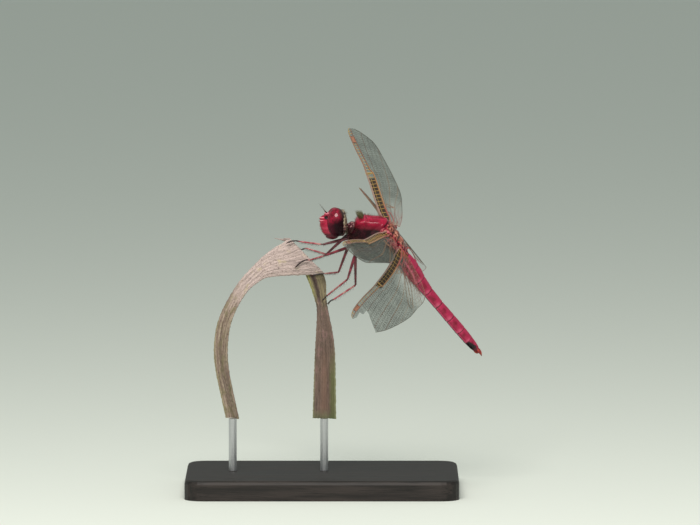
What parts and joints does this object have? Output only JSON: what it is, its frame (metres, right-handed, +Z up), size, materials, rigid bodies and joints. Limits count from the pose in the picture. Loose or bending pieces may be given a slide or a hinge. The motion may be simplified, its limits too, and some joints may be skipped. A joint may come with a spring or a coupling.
{
  "type": "dragonfly",
  "caption": "Life-size still red dropwing dragonfly gripping a folded dry grass blade, on a plain flat display base with two rods.",
  "frame": {"origin": "centre of the display base's underside, on the surface that the stand rests on", "axes": "+Z up; the length of the base and the plane of the folded blade lie along X, and the dragonfly heads towards -X, up, and a little towards -Y"},
  "size_m": [0.0481, 0.0581, 0.0574],
  "materials": {
    "abdomen_cuticle": "satin crimson cuticle with dark joints and black sides near the tip",
    "thorax_cuticle": "glossy crimson cuticle, dark maroon below, fine pale hairs",
    "capsule_cuticle": "matt grey-brown rim behind the eyes",
    "face_cuticle": "satin crimson",
    "dark_cuticle": "satin dark maroon",
    "compound_eye": "glossy, crimson above and near-black maroon below",
    "leg_red": "satin pinkish red with black bristles",
    "leg_dark": "satin dark red with black bristles",
    "tail_orange": "satin orange-red",
    "wing_membrane": "clear glossy film with red and orange veins, amber at the base",
    "dry_blade": "matt dry leaf, pinkish tan with brown streaks",
    "base_wood": "satin black-stained wood",
    "rod_steel": "satin"
  },
  "bodies": {
    "root": {"abdomen_1": "abdomen_cuticle", "abdomen_10": "abdomen_cuticle", "abdomen_2": "abdomen_cuticle", "abdomen_3": "abdomen_cuticle", "abdomen_4": "abdomen_cuticle", "abdomen_5": "abdomen_cuticle", "abdomen_6": "abdomen_cuticle", "abdomen_7": "abdomen_cuticle", "abdomen_8": "abdomen_cuticle", "abdomen_9": "abdomen_cuticle", "antenna_left": "dark_cuticle", "antenna_right": "dark_cuticle", "cercus_left": "tail_orange", "cercus_right": "tail_orange", "epiproct": "tail_orange", "eye_left": "compound_eye", "eye_right": "compound_eye", "face": "face_cuticle", "femur_fore_left": "leg_red", "femur_fore_right": "leg_red", "femur_hind_left": "leg_red", "femur_hind_right": "leg_red", "femur_mid_left": "leg_red", "femur_mid_right": "leg_red", "head_capsule": "capsule_cuticle", "mouthparts": "dark_cuticle", "perch_curl": "dry_blade", "perch_fold": "dry_blade", "perch_splinter": "dry_blade", "perch_upright": "dry_blade", "prothorax": "thorax_cuticle", "stand_base": "base_wood", "stand_rod_left": "rod_steel", "stand_rod_right": "rod_steel", "tarsus_fore_left": "leg_dark", "tarsus_fore_right": "leg_dark", "tarsus_hind_left": "leg_dark", "tarsus_hind_right": "leg_dark", "tarsus_mid_left": "leg_dark", "tarsus_mid_right": "leg_dark", "thorax": "thorax_cuticle", "tibia_fore_left": "leg_dark", "tibia_fore_right": "leg_dark", "tibia_hind_left": "leg_dark", "tibia_hind_right": "leg_dark", "tibia_mid_left": "leg_dark", "tibia_mid_right": "leg_dark", "vertex": "face_cuticle", "wing_fore_left": "wing_membrane", "wing_fore_right": "wing_membrane", "wing_hind_left": "wing_membrane", "wing_hind_right": "wing_membrane"}
  },
  "joints": []
}
